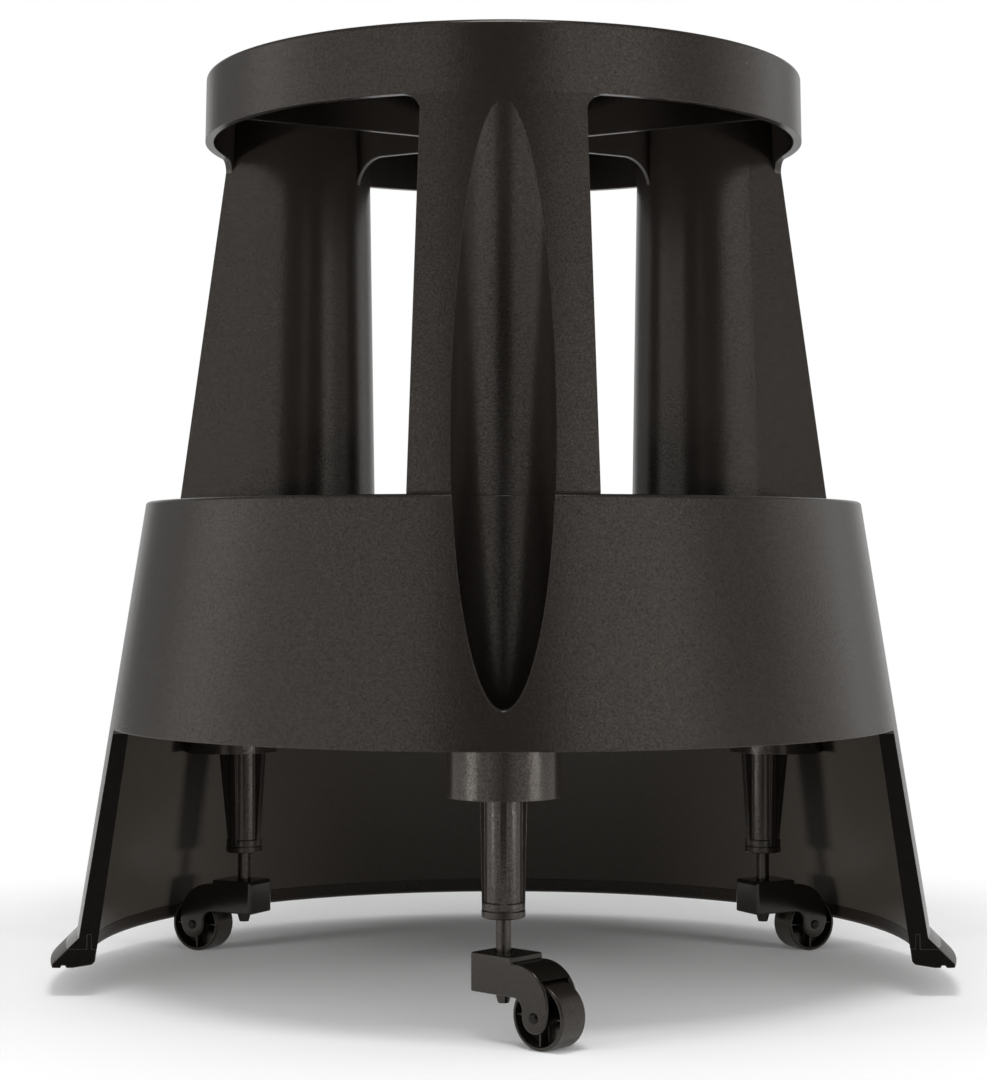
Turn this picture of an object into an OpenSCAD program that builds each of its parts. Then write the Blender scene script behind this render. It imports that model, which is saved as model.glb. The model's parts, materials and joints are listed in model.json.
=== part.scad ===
// Rolling step stool: two moulded shells, rubber treads and foot, three sprung castors.
// The front of the skirt is cut away, so the castors can be seen. The floor is at z = 0,
// the origin lies on the stool's axis and the front is towards -Y.

/* [Overall heights] */
// How far the foot ring hangs above the floor while nobody stands on the stool
castor_travel = 14; // [8:0.5:18]
// Height of the lower shell, from the foot ring's underside to its deck
base_h = 218.5; // [190:0.5:240]
// Height of the upper shell, from the deck to the top edge
column_h = 205.3; // [180:0.1:230]

/* [Top] */
// Diameter of the top at its upper edge
top_d = 288.8; // [270:0.2:300]
// Height of the rim band
rim_h = 31.3; // [26:0.1:38]
// How much wider the rim's radius is at its lower edge
rim_draft = 0.6; // [0.2:0.1:1.2]
// Wall of the rim band
rim_wall = 4; // [3:0.5:6]
// Rounding of the top's outer edge
top_round = 2; // [1:0.5:3]
// Thickness of the top plate
top_plate_t = 3; // [2.5:0.5:5]
// Thickness of the radial ribs under the top
top_rib_t = 2.5; // [2:0.5:4]
// Depth of the radial ribs, below the top plate
top_rib_depth = 25; // [18:0.5:30]
// Number of radial ribs, one on each leg's middle and one between
top_rib_count = 6; // [6:6:12]

/* [Legs] */
// Distance of the leg's outer face from the deck's edge
leg_step = 1.5; // [1:0.1:4]
// Half the width of a leg at the deck
leg_foot_half_w = 41; // [37:0.5:44]
// Half the width of a leg at the rim
leg_top_half_w = 36; // [32:0.5:40]
// Distance from the stool's axis to the leg's round inner nose, at the deck
nose_foot_r = 83; // [76:0.5:90]
// Distance from the stool's axis to the leg's round inner nose, at the rim
nose_top_r = 85; // [78:0.5:92]
// Wall of a leg
leg_wall = 3; // [2.5:0.5:4]
// Rounding between a leg's side and the rim
corner_fillet = 8; // [4:0.5:14]
// Rounding between a leg's nose and its rib under the top
rib_fillet = 15; // [8:0.5:20]
// Height of the shadow groove between leg and deck
shadow_gap = 0.8; // [0.4:0.1:1.5]
// Depth of the shadow groove
shadow_depth = 1.2; // [0.8:0.1:2]

/* [Flutes] */
// Radius of the round flute that runs down each leg into the lower shell
flute_r = 22.4; // [19:0.1:23]
// Distance of the flute's axis from the leg's outer face, at the deck
flute_inset = 5.85; // [4:0.05:8]
// Gap between the flute and the rim's lower edge, where the flute has run out
flute_end_gap = 0.5; // [0.2:0.1:2]
// Wall behind the flute
flute_wall = 1.8; // [1.5:0.1:2.5]

/* [Lower shell] */
// Distance of the deck's edge inwards from the foot ring's outer edge
deck_inset = 44.7; // [38:0.1:50]
// Rounding of the deck's outer edge
deck_round = 2; // [1:0.5:3]
// Thickness of the deck
deck_t = 3.5; // [3:0.5:5]
// How far the foot ring stands out past the skirt, at the level where the skirt flares out
foot_reach = 12.2; // [10:0.1:14]
// Wall of the skirt at the deck
skirt_wall_top = 5; // [4:0.5:6]
// Wall of the skirt at its lower edge
skirt_wall_foot = 9; // [8:0.5:10]
// Height above the foot's underside at which the skirt flares out
flare_h = 14; // [12:0.5:18]
// Depth of the stiffening ribs under the deck
deck_rib_depth = 18; // [10:1:24]
// Thickness of the stiffening ribs under the deck
deck_rib_t = 3; // [2:0.5:4]
// Radius of the ring-shaped rib under the deck
deck_ring_r = 62; // [50:1:70]

/* [Cutaway] */
// Height of the cutaway above the foot's underside
cutaway_h = 111.3; // [60:0.1:115]
// Distance from the stool's axis to the cutting plane; 225 leaves the skirt whole
cutaway_y = 55; // [50:1:225]
// Rounding in the corner of the cutaway
cutaway_round = 2; // [1:0.5:4]

/* [Foot ring] */
// Outer radius of the rubber foot ring
foot_tip_r = 218.2; // [216:0.1:221]
// Height of the joint between skirt and foot ring, above the foot's underside
foot_joint_h = 9; // [7:0.5:11]
// Width of the tongue that sits in the skirt
tongue_w = 2.5; // [2:0.1:3]
// Height of the tongue
tongue_h = 7; // [4:0.5:8]
// How far the tongue stands inwards from the middle of the skirt's wall
tongue_shift = 1; // [0:0.1:1.5]
// Play round the tongue
tongue_fit = 0.1; // [0.05:0.05:0.2]
// Rounding of the foot ring's inner lower edge
foot_round = 3; // [2:0.5:4]
// Chamfer of the foot ring's outer lower edge
foot_chamfer = 0.4; // [0.2:0.1:0.8]
// Distance inwards from the outer edge at which the flat underside starts
foot_flat_inset = 9.3; // [8.5:0.1:12]
// Rise of the underside towards its inner edge
foot_rise = 1.25; // [0.5:0.05:1.5]
// Distance of the drip groove inwards from the outer edge
groove_inset = 5.3; // [4:0.1:6]
// Width of the drip groove
groove_w = 2.6; // [2:0.1:3]
// Depth of the drip groove
groove_depth = 1.1; // [0.8:0.1:1.5]

/* [Treads] */
// Diameter of the rubber mat on the top
mat_d = 272; // [250:1:274]
// Thickness of the mat
mat_t = 3; // [2.5:0.1:3.2]
// Depth of the recess that holds the mat
mat_recess = 1.5; // [1:0.1:2]
// Flat middle of the mat
mat_middle_d = 36; // [24:1:60]
// Spacing of the treads' round ridges
ridge_pitch = 8; // [6:0.5:12]
// Width of a ridge
ridge_w = 4; // [3:0.5:5]
// Height of a ridge
ridge_h = 0.9; // [0.6:0.1:1.2]
// Gap round each tread in its recess
tread_gap = 0.3; // [0.2:0.1:0.5]
// Distance of the pads from the deck's edge
pad_rim = 9; // [7:0.5:15]
// Inner radius of the pads on the deck
pad_inner_r = 96; // [80:1:120]
// Distance between a pad's edge and the leg beside it
pad_margin = 6; // [4:0.5:12]
// Thickness of a pad, which fills its recess
pad_t = 2; // [1.5:0.1:2.5]

/* [Joint of the shells] */
// Height of the low collar that locates each leg on the deck
collar_h = 2.2; // [1.5:0.1:4]
// Wall of the collar
collar_t = 2; // [1.5:0.1:2.5]
// Play between collar and leg
collar_fit = 0.3; // [0.2:0.05:0.5]
// Diameter of the joining screws
screw_d = 4; // [3.5:0.1:4.5]
// Length of the joining screws under the head
screw_length = 22; // [16:1:30]
// Diameter of the screw heads
screw_head_d = 8; // [7:0.5:9]
// Height of the screw heads
screw_head_h = 2.6; // [2:0.1:3]
// Diameter of the screw bosses in the legs
boss_d = 9; // [8.5:0.5:10]
// Height of the screw bosses in the legs
boss_h = 34; // [26:1:40]
// Length of the screws' pointed tip
screw_tip_h = 1.5; // [1:0.1:3]
// Depth of a screw hole beyond the tip
screw_hole_rest = 2; // [1:0.5:4]
// Distance of a leg's two side screws outwards from the middle of its round nose
screw_outward = 18; // [12:1:22]
// Room round a screw's head, for the driver
screw_room = 1; // [0.5:0.5:2]
// Play round a screw in its boss
screw_fit = 0.05; // [0.02:0.01:0.1]
// Play round a screw in the deck
deck_hole_fit = 0.25; // [0.2:0.05:0.5]

/* [Castor housings] */
// Distance of a castor's axis inwards from the flute's axis
castor_inset = 9.75; // [8.5:0.05:11]
// Height of the pocket's underside above the foot's underside
pocket_h = 90.8; // [84:0.1:100]
// Thickness of the pocket's floor
pocket_floor_t = 2.5; // [2:0.5:4]
// Top of the spring chamber above the foot's underside
chamber_top_h = 117.5; // [114:0.5:119]
// Roof of the spring chamber
chamber_roof_t = 2.2; // [2:0.1:3]
// Outer radius of the round sleeve
sleeve_r = 8.1; // [7.9:0.1:8.3]
// Radius of the spring chamber in the sleeve
chamber_r = 6.1; // [6:0.05:6.3]
// Height of the round foot that ends the fins
sleeve_foot_h = 3; // [2:0.5:5]
// Thickness of the fins on the sleeve
fin_t = 3; // [2:0.1:4]
// Reach of the fins at the sleeve's lower end, from the castor's axis
fin_foot = 9.2; // [8.8:0.1:9.4]
// Reach of the outward fin at the pocket
fin_outward = 15.2; // [12:0.1:18]
// Reach of the inward fin at the pocket
fin_inward = 12.8; // [11:0.1:14]
// Reach of the fins to the sides at the pocket
fin_side = 10.1; // [9.5:0.1:12]

/* [Guide bush] */
// Radius of the bush's flange
bush_flange_r = 9.4; // [9.2:0.1:9.8]
// Height of the bush's flange
bush_flange_t = 3; // [2:0.1:4]
// Height of the groove between flange and sleeve
bush_groove_h = 0.6; // [0.4:0.1:1]
// Radius at the bottom of that groove
bush_groove_r = 8.3; // [7.5:0.1:8.6]
// Length of the bush inside the sleeve
bush_plug_h = 10; // [6:0.5:14]
// Chamfers of the bush
bush_chamfer = 0.5; // [0.3:0.1:1]
// Play between the bush and the sleeve, on the radius
bush_fit = 0.03; // [0.01:0.01:0.05]

/* [Castors] */
// Turn of the front castor from pointing straight outwards, in degrees
front_turn = 47.5; // [-180:0.5:180]
// Turn of the right castor from pointing straight outwards, in degrees
right_turn = -2; // [-180:0.5:180]
// Turn of the left castor from pointing straight outwards, in degrees
left_turn = 2; // [-180:0.5:180]
// Diameter of the stem
stem_d = 6.5; // [6:0.1:7]
// Running play of the stem in its bush, on the radius
stem_play = 0.05; // [0.02:0.01:0.08]
// Play left between fork and bush when the castor is pushed all the way in
stop_gap = 0.4; // [0.3:0.1:1]
// Gap left above the stem when the castor is pushed all the way in
stem_end_gap = 2; // [1:0.5:4]
// Chamfer of the stem's upper end
stem_chamfer = 1; // [0.5:0.1:1.5]
// Play where stem, axle and retaining ring sit tight, on the radius
tight_fit = 0.02; // [0.01:0.01:0.04]
// Length of the peened lower end of the stem
peen_h = 4.9; // [3:0.1:6]
// Height of the peened end's straight part
peen_edge_h = 0.8; // [0.5:0.1:1.5]
// Diameter of the peened end where it bears on the fork
peen_d = 7.2; // [7:0.1:7.8]
// Diameter of the peened end at its tip
peen_tip_d = 4.8; // [4:0.1:5.5]
// Diameter of the wheel
wheel_d = 28.2; // [26:0.2:30]
// Width of the wheel
wheel_w = 15; // [12:0.5:15.2]
// Thickness of the wheel's rim
wheel_rim_t = 1.8; // [1.4:0.1:3]
// Thickness of the wheel's web
wheel_web_t = 2; // [1.5:0.1:3]
// Radius of the wheel's hub
hub_r = 3.8; // [3:0.1:5]
// Number of spokes on each side of the web
spoke_count = 4; // [3:1:8]
// Thickness of a spoke
spoke_t = 1.1; // [0.8:0.1:2]
// Chamfer of the wheel's outer edges
wheel_chamfer = 0.7; // [0.4:0.1:1]
// Gap between the wheel's hub and each cheek
hub_gap = 0.3; // [0.2:0.1:0.5]
// How far the spokes stay below the rim's edge
spoke_recess = 1.6; // [1:0.1:3]
// Distance from the stem's axis to the wheel's axle
trail = 25.9; // [24:0.1:28]
// Diameter of the axle
axle_d = 3; // [2.5:0.1:3.5]
// Running play of the wheel on its axle, on the radius
axle_play = 0.05; // [0.02:0.01:0.08]
// Diameter of the axle's riveted heads
axle_head_d = 4.6; // [4:0.1:5.5]
// Height of the axle's riveted heads
axle_head_h = 0.9; // [0.6:0.1:1.2]
// Bevel of the axle's riveted heads
axle_head_bevel = 0.6; // [0.3:0.1:0.6]

/* [Fork] */
// Width of the fork
fork_w = 20; // [19.4:0.1:22]
// Thickness of the fork's cheeks
cheek_t = 2; // [1.6:0.1:2.2]
// Radius of the cheek's round end about the axle
cheek_r = 6.8; // [6:0.1:7.5]
// Length of the fork's block behind the stem
block_back = 10.7; // [9:0.1:12]
// Length of the fork's block in front of the stem
block_front = 13.3; // [12:0.1:14]
// Height of the block's top above the axle
block_top = 24.1; // [22:0.1:25]
// Height of the block's underside above the axle
block_bottom = 7.2; // [6:0.1:8]
// Rounding of the block's corners
block_round = 2; // [1:0.1:3]
// Distance of the hood's centre behind the axle
hood_back = 9.9; // [9:0.1:11]
// Distance of the hood's centre above the axle
hood_up = 4.1; // [3.5:0.1:5]
// Clearance between the wheel and the hood
wheel_gap = 1.2; // [0.8:0.1:1.4]
// Rounding between the block's underside and the cheek's back edge
cheek_fillet = 5; // [3:0.1:5]

/* [Springs] */
// Wire of the castor springs
wire_d = 1.3; // [1:0.1:1.5]
// Radius of the springs, to the middle of the wire
spring_r = 4.95; // [4.8:0.05:5.1]
// Number of turns
spring_turns = 11; // [8:1:13]
// Thickness of the spring's seat washer
washer_t = 1.2; // [0.8:0.1:2]
// Outer radius of the seat washer
washer_r = 5.8; // [5.6:0.1:5.9]
// Play of the seat washer round the stem, on the radius
washer_play = 0.2; // [0.1:0.05:0.3]
// Gap between the closed turns at the springs' ends
end_gap = 0.6; // [0.5:0.1:1]
// Thickness of the retaining ring on the stem
ring_t = 1.1; // [0.8:0.1:1.4]
// Outer radius of the retaining ring
ring_r = 5.3; // [5:0.1:5.6]
// Width of the retaining ring's mouth
ring_mouth_w = 3.8; // [3:0.1:4.6]
// Depth of the ring's groove in the stem
ring_groove = 0.6; // [0.4:0.1:0.8]
// Small gap between parts that only rest on each other
seat_gap = 0.2; // [0.1:0.05:0.4]

/* [Hidden] */
$fn = 96;

shell_colour = [0.20, 0.19, 0.185];
castor_colour = [0.15, 0.145, 0.14];
rubber_colour = [0.11, 0.11, 0.11];
steel_colour = [0.28, 0.28, 0.29];

leg_angles = [-90, 30, 150];
castor_turns = [front_turn, right_turn, left_turn];
pad_angles = [-30, -150, 90];

// Levels above the floor
foot_z = castor_travel;
deck_z = foot_z + base_h;
top_z = deck_z + column_h;
rim_z = top_z - rim_h;
plate_top_z = top_z - mat_recess;
ceiling_z = plate_top_z - top_plate_t;
top_rib_z = ceiling_z - top_rib_depth;
joint_z = foot_z + foot_joint_h;
flare_z = foot_z + flare_h;
cutaway_z = foot_z + cutaway_h;
pocket_z = foot_z + pocket_h;
chamber_top_z = foot_z + chamber_top_h;

// Radii of the top
top_r = top_d / 2;
rim_r = top_r + rim_draft;
// The rim stands this much proud of the legs, so that no edge lies on another
bite = 0.05;

// Radii of the lower half, from the foot ring's outer edge inwards
deck_r = foot_tip_r - deck_inset;
skirt_slope = (deck_inset - foot_reach) / (deck_z - flare_z);
foot_flat_r = foot_tip_r - foot_flat_inset;
groove_r = foot_tip_r - groove_inset;
pad_outer_r = deck_r - pad_rim;
leg_foot_r = deck_r - leg_step;
leg_slope = (leg_foot_r - rim_r + bite) / (rim_z - deck_z);

// The flute leans so that it runs out just under the rim
flute_axis_r = leg_foot_r - flute_inset;
flute_lean = atan((rim_r + flute_r + flute_end_gap - flute_axis_r) / (rim_z - deck_z));
castor_axis_r = flute_axis_r - castor_inset;

// Castor levels
axle_z = wheel_d / 2;
fork_top_z = axle_z + block_top;
fork_bottom_z = axle_z + block_bottom;
bush_z = fork_top_z + castor_travel + stop_gap;
sleeve_z = bush_z + bush_flange_t + bush_groove_h;
bush_top_z = sleeve_z + bush_plug_h;
ring_z = bush_top_z + seat_gap;
washer_z = ring_z + ring_t + seat_gap;
spring_z = washer_z + washer_t + seat_gap;
spring_h = chamber_top_z - seat_gap - spring_z;
stem_top_z = chamber_top_z - castor_travel - stem_end_gap;
stem_r = stem_d / 2;

overlap = 1;
far = 300;

// Points on an arc, for the rounded edges of turned outlines
function arc(centre, r, from, to, steps = 6) =
    [for (i = [0:steps]) let (a = from + (to - from) * i / steps)
        centre + r * [cos(a), sin(a)]];

// Radius of the skirt's outer face, and of its inner face, at a level
function skirt_r(z) = deck_r + (deck_z - z) * skirt_slope;
function skirt_wall(z) =
    skirt_wall_top + (skirt_wall_foot - skirt_wall_top) * (deck_z - z) / (deck_z - joint_z);
function skirt_inner_r(z) = skirt_r(z) - skirt_wall(z);
function leg_r(z) = leg_foot_r - (z - deck_z) * leg_slope;
function leg_half_w(z) =
    leg_foot_half_w + (leg_top_half_w - leg_foot_half_w) * (z - deck_z) / (rim_z - deck_z);

module slab(z0, z1) {
    translate([-far, -far, z0]) cube([2 * far, 2 * far, z1 - z0]);
}

module at_leg(i) {
    rotate([0, 0, leg_angles[i]]) children();
}

// A bar on the flute's leaning axis, cut off level at both ends
module flute_bar(r, z0, z1) {
    spare = 5 * overlap;
    intersection() {
        translate([flute_axis_r, 0, deck_z]) rotate([0, flute_lean, 0])
            translate([0, 0, z0 - deck_z - spare]) cylinder(r = r, h = z1 - z0 + 2 * spare);
        slab(z0, z1);
    }
}

// The leg's plan is a D, a half-round nose with straight sides, that tapers upwards
module leg_core(inset, z0, z1) {
    lean = atan((nose_foot_r + leg_foot_half_w - nose_top_r - leg_top_half_w)
        / (rim_z - deck_z));
    w0 = leg_half_w(z0) - inset;
    w1 = leg_half_w(z1) - inset;
    h0 = z0 - deck_z;
    h1 = z1 - deck_z;
    translate([nose_foot_r + leg_foot_half_w, 0, deck_z]) rotate([0, -lean, 0]) {
        rotate([0, 0, 90]) rotate_extrude(angle = 180)
            polygon([[0, h0], [w0, h0], [w1, h1], [0, h1]]);
        rotate([90, 0, 90]) linear_extrude(height = leg_foot_r - nose_foot_r)
            polygon([[-w0, h0], [w0, h0], [w1, h1], [-w1, h1]]);
    }
}

// The slope that the legs' outer faces lie on; it ends inside the rim band
module leg_slope_body(z0, z1) {
    rotate_extrude() polygon([[0, z0], [leg_r(z0), z0], [leg_r(z1), z1], [0, z1]]);
}

// The slope of the legs' inner faces, up to the top plate
module leg_slope_cavity() {
    rotate_extrude() polygon([
        [0, deck_z - overlap],
        [leg_r(deck_z - overlap) - leg_wall, deck_z - overlap],
        [leg_r(rim_z) - leg_wall, rim_z],
        [top_r - rim_wall, ceiling_z],
        [0, ceiling_z]
    ]);
}

// Rim band and top plate, with the recess for the mat
module top_cap() {
    recess_r = mat_d / 2 + tread_gap;
    rotate_extrude() polygon(concat(
        [[0, ceiling_z], [top_r - rim_wall, ceiling_z], [rim_r - rim_wall, rim_z],
         [rim_r, rim_z]],
        arc([top_r - top_round, top_z - top_round], top_round, 0, 90),
        [[recess_r, top_z], [recess_r, plate_top_z], [0, plate_top_z]]
    ));
}

// Rounds the two corners between a leg's sides and the rim's lower edge
module corner_fillets() {
    low_z = rim_z - corner_fillet - overlap;
    w = leg_half_w(rim_z);
    intersection() {
        rotate_extrude() polygon([
            [rim_r - rim_wall, rim_z + overlap], [leg_r(low_z) - rim_wall, low_z],
            [leg_r(low_z) - bite, low_z], [leg_r(rim_z) - bite, rim_z],
            [leg_r(rim_z) - bite, rim_z + overlap]
        ]);
        for (side = [-1, 1])
            rotate([90, 0, 90]) linear_extrude(height = far) difference() {
                translate([side > 0 ? w - overlap : -w - corner_fillet, rim_z - corner_fillet])
                    square([corner_fillet + overlap, corner_fillet + overlap]);
                translate([side * (w + corner_fillet), rim_z - corner_fillet + bite])
                    circle(r = corner_fillet);
            }
    }
}

module upright(thickness) {
    translate([0, thickness / 2, 0]) rotate([90, 0, 0])
        linear_extrude(height = thickness) children();
}

// Radial ribs under the top, with the rounded gusset that runs down each leg's nose
module top_ribs() {
    rib_end_r = top_r - rim_wall / 2;
    for (i = [0:top_rib_count - 1])
        rotate([0, 0, leg_angles[0] + i * 360 / top_rib_count])
            upright(top_rib_t) translate([0, top_rib_z])
                square([rib_end_r, top_rib_depth + overlap]);
    for (i = [0:2]) at_leg(i)
        upright(top_rib_t) difference() {
            translate([nose_top_r - rib_fillet, top_rib_z - rib_fillet])
                square([rib_fillet + leg_wall, rib_fillet + overlap]);
            translate([nose_top_r - rib_fillet, top_rib_z - rib_fillet + bite])
                circle(r = rib_fillet);
        }
}

// Where the joining screws stand, in a leg's own frame
boss_inset = leg_wall + boss_d / 2 - overlap;
screw_places = [
    [nose_foot_r + boss_inset, 0],
    [nose_foot_r + leg_foot_half_w + screw_outward, leg_foot_half_w - boss_inset],
    [nose_foot_r + leg_foot_half_w + screw_outward, -leg_foot_half_w + boss_inset]
];

module at_screws() {
    for (i = [0:2]) at_leg(i)
        for (p = screw_places) translate([p.x, p.y, 0]) children();
}

module upper_shell() {
    color(shell_colour) difference() {
        union() {
            difference() {
                union() {
                    top_cap();
                    top_ribs();
                    for (i = [0:2]) at_leg(i) {
                        intersection() {
                            leg_core(0, deck_z - overlap, ceiling_z + overlap);
                            leg_slope_body(deck_z, ceiling_z + overlap);
                        }
                        corner_fillets();
                    }
                }
                for (i = [0:2]) at_leg(i) difference() {
                    intersection() {
                        leg_core(leg_wall, deck_z - 2 * overlap, ceiling_z + overlap);
                        leg_slope_cavity();
                    }
                    flute_bar(flute_r + flute_wall, deck_z - 3 * overlap, ceiling_z + 2 * overlap);
                }
            }
            at_screws() translate([0, 0, deck_z]) cylinder(d = boss_d, h = boss_h);
        }
        for (i = [0:2]) at_leg(i) flute_bar(flute_r, deck_z - overlap, rim_z - overlap);
        at_screws() translate([0, 0, deck_z - overlap])
            cylinder(d = screw_d + 2 * screw_fit,
                h = overlap + screw_length - deck_t + screw_hole_rest);
        translate([0, 0, deck_z - overlap]) difference() {
            cylinder(r = leg_foot_r + flute_r, h = overlap + shadow_gap);
            translate([0, 0, -overlap])
                cylinder(r = leg_foot_r - shadow_depth, h = 3 * overlap + shadow_gap);
        }
    }
}

// Grooves that leave round ridges between them, from one radius to another
module ridge_grooves(r0, r1, z) {
    for (r = [r0 + ridge_w:ridge_pitch:r1 - ridge_pitch])
        translate([0, 0, z - ridge_h]) difference() {
            cylinder(r = r + ridge_pitch - ridge_w, h = ridge_h + overlap);
            translate([0, 0, -overlap]) cylinder(r = r, h = ridge_h + 3 * overlap);
        }
}

module top_tread() {
    color(rubber_colour) difference() {
        translate([0, 0, plate_top_z]) cylinder(d = mat_d, h = mat_t);
        ridge_grooves(mat_middle_d / 2, mat_d / 2, plate_top_z + mat_t);
    }
}

// The outer form of the lower shell from a level up to its deck, as if it were solid
module base_body(z0) {
    rotate_extrude() polygon(concat(
        [[0, z0], [skirt_r(z0), z0]],
        arc([deck_r - deck_round, deck_z - deck_round], deck_round, 0, 90),
        [[0, deck_z]]
    ));
}

// The skirt's wall, which flares out above the foot ring
module skirt() {
    rotate_extrude() polygon(concat(
        [[skirt_inner_r(joint_z), joint_z],
         [skirt_r(flare_z) + flare_z - joint_z, joint_z],
         [skirt_r(flare_z), flare_z]],
        arc([deck_r - deck_round, deck_z - deck_round], deck_round, 0, 90),
        [[skirt_inner_r(deck_z), deck_z]]
    ));
}

// What is cut out of the skirt and the foot ring at the front
module cutaway() {
    r = cutaway_round;
    rotate([90, 0, 90]) translate([0, 0, -far]) linear_extrude(height = 2 * far) {
        translate([-far, -far]) square([far - cutaway_y, cutaway_z + far - r]);
        translate([-far, 0]) square([far - cutaway_y - r, cutaway_z]);
        translate([-cutaway_y - r, cutaway_z - r]) circle(r = r);
    }
}

// Tongue of the foot ring, or with play the groove for it
tongue_r = (skirt_inner_r(joint_z) + skirt_r(joint_z)) / 2 - tongue_shift;
module tongue(play) {
    w = tongue_w / 2 + play;
    rotate_extrude() translate([tongue_r - w, joint_z - overlap])
        square([2 * w, tongue_h + overlap + play]);
}

module foot_ring() {
    inner_r = skirt_inner_r(foot_z + foot_rise + foot_round);
    color(rubber_colour) difference() {
        union() {
            rotate_extrude() polygon(concat(
                [[skirt_inner_r(joint_z), joint_z]],
                arc([inner_r + foot_round, foot_z + foot_rise + foot_round], foot_round, 180, 270),
                [[foot_flat_r, foot_z],
                 [groove_r - groove_w / 2, foot_z],
                 [groove_r - groove_w / 3, foot_z + groove_depth],
                 [groove_r + groove_w / 3, foot_z + groove_depth],
                 [groove_r + groove_w / 2, foot_z],
                 [foot_tip_r - foot_chamfer, foot_z],
                 [foot_tip_r, foot_z + foot_chamfer],
                 [foot_tip_r, flare_z - (foot_tip_r - skirt_r(flare_z))],
                 [skirt_r(flare_z) + flare_z - joint_z, joint_z]]
            ));
            tongue(0);
        }
        cutaway();
    }
}

// One of the three fields of the deck that lie between two legs
module pad_outline(angle, grow) {
    rotate(angle) intersection() {
        difference() {
            circle(r = pad_outer_r + grow);
            circle(r = pad_inner_r - grow);
        }
        polygon([[0, 0], [far, -far * tan(60)], [far, far * tan(60)]]);
        difference() {
            circle(r = far);
            for (side = [-60, 60]) rotate(side) {
                w = leg_foot_half_w + pad_margin - grow;
                translate([nose_foot_r + leg_foot_half_w, -w]) square([far, 2 * w]);
                translate([nose_foot_r + leg_foot_half_w, 0]) circle(r = w);
            }
        }
    }
}

module pad(angle) {
    color(rubber_colour) difference() {
        translate([0, 0, deck_z - pad_t]) linear_extrude(height = pad_t)
            pad_outline(angle, 0);
        ridge_grooves(pad_inner_r, pad_outer_r, deck_z);
    }
}

module front_right_pad() pad(pad_angles[0]);
module front_left_pad() pad(pad_angles[1]);
module rear_pad() pad(pad_angles[2]);

// The collars on the deck stand inside the legs, clear of the flutes and the bosses
module leg_collars() {
    for (i = [0:2]) at_leg(i) difference() {
        intersection() {
            leg_core(leg_wall + collar_fit, deck_z - overlap, deck_z + collar_h);
            rotate_extrude() polygon([
                [0, deck_z - overlap],
                [leg_r(deck_z) - leg_wall - collar_fit, deck_z - overlap],
                [leg_r(deck_z) - leg_wall - collar_fit, deck_z],
                [leg_r(deck_z + collar_h) - leg_wall - collar_fit, deck_z + collar_h],
                [0, deck_z + collar_h]
            ]);
        }
        intersection() {
            leg_core(leg_wall + collar_fit + collar_t, deck_z - 2 * overlap,
                deck_z + collar_h + overlap);
            translate([0, 0, deck_z - 2 * overlap])
                cylinder(r = leg_r(deck_z + collar_h) - leg_wall - collar_fit - collar_t,
                    h = collar_h + 4 * overlap);
        }
        flute_bar(flute_r + flute_wall + collar_fit, deck_z - 2 * overlap,
            deck_z + collar_h + overlap);
        for (p = screw_places) translate([p.x, p.y, deck_z - 2 * overlap])
            cylinder(d = boss_d + 2 * collar_fit, h = collar_h + 4 * overlap);
    }
}

// Ribs under the deck: a ring, and spokes that run out to the skirt and to the pockets,
// with room for the screw heads and the driver
module deck_ribs() {
    z = deck_z - deck_t - deck_rib_depth;
    h = deck_rib_depth + overlap;
    translate([0, 0, z]) difference() {
        cylinder(r = deck_ring_r, h = h);
        translate([0, 0, -overlap]) cylinder(r = deck_ring_r - deck_rib_t, h = h + overlap);
    }
    difference() {
        intersection() {
            base_body(z);
            for (i = [0:2]) {
                rotate([0, 0, pad_angles[i]])
                    translate([deck_ring_r - overlap, -deck_rib_t / 2, z])
                        cube([skirt_inner_r(deck_z) - deck_ring_r + 2 * overlap, deck_rib_t, h]);
                at_leg(i) translate([deck_ring_r - overlap, -deck_rib_t / 2, z])
                    cube([flute_axis_r - flute_r - deck_ring_r, deck_rib_t, h]);
            }
        }
        at_screws() translate([0, 0, z - overlap])
            cylinder(d = screw_head_d + 2 * screw_room, h = deck_rib_depth + 2 * overlap);
    }
}

// One tapered fin of a sleeve, in the direction of +X
module fin(reach) {
    rotate([90, 0, 0]) translate([0, 0, -fin_t / 2]) linear_extrude(height = fin_t)
        polygon([
            [(chamber_r + sleeve_r) / 2, sleeve_z], [fin_foot, sleeve_z],
            [reach, pocket_z + overlap], [(chamber_r + sleeve_r) / 2, pocket_z + overlap]
        ]);
}

// Pocket, floor and finned sleeve that carry one castor
module castor_housing() {
    intersection() {
        flute_bar(flute_r + flute_wall, pocket_z, deck_z);
        base_body(pocket_z);
    }
    translate([castor_axis_r, 0, 0]) {
        translate([0, 0, sleeve_z])
            cylinder(r = sleeve_r, h = chamber_top_z + chamber_roof_t - sleeve_z);
        translate([0, 0, sleeve_z]) cylinder(r = fin_foot, h = sleeve_foot_h);
        fin(fin_outward);
        for (side = [-90, 90]) rotate([0, 0, side]) fin(fin_side);
        rotate([0, 0, 180]) fin(fin_inward);
    }
}

// The room inside one housing: the open pocket round the sleeve, and the spring chamber
module castor_rooms() {
    difference() {
        flute_bar(flute_r, pocket_z + pocket_floor_t, deck_z + collar_h + overlap);
        translate([castor_axis_r, 0, pocket_z])
            cylinder(r = sleeve_r, h = chamber_top_z + chamber_roof_t - pocket_z);
    }
    translate([castor_axis_r, 0, sleeve_z - overlap])
        cylinder(r = chamber_r, h = chamber_top_z - sleeve_z + overlap);
}

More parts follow.
